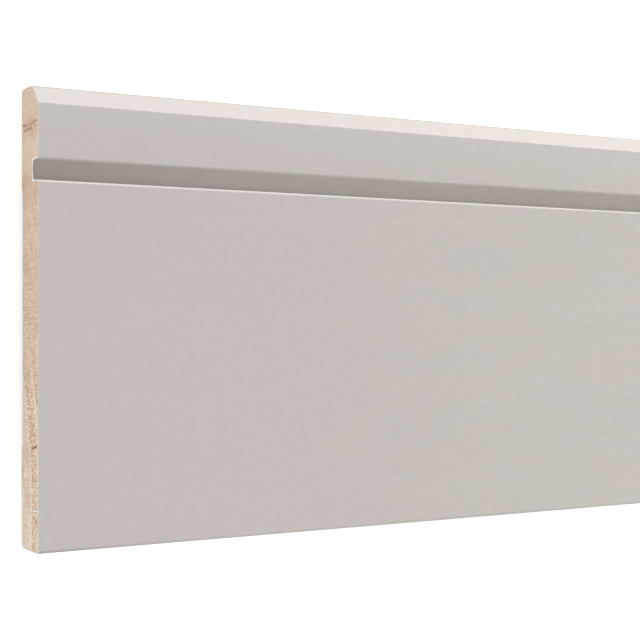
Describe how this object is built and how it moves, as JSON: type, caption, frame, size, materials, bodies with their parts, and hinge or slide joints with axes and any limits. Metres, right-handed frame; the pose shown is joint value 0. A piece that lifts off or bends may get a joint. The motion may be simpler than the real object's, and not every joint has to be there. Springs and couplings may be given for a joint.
{
  "type": "skirting board",
  "caption": "Straight length of moulded skirting board with a chamfered top edge, a square groove across its upper face and a shallow relief along its back.",
  "frame": {"origin": "middle of the footprint, level with the two back pads that the board lies on", "axes": "+X along the length, +Y across the width from the floor edge to the chamfered top edge, +Z through the thickness from the back to the moulded face"},
  "size_m": [2.4384, 0.1334, 0.0143],
  "materials": {
    "primed_softwood": "matt factory primer on the face and edges, bare sawn softwood on the ends and bare planed softwood on the back"
  },
  "bodies": {
    "root": {"skirting_board": "primed_softwood"}
  },
  "joints": []
}
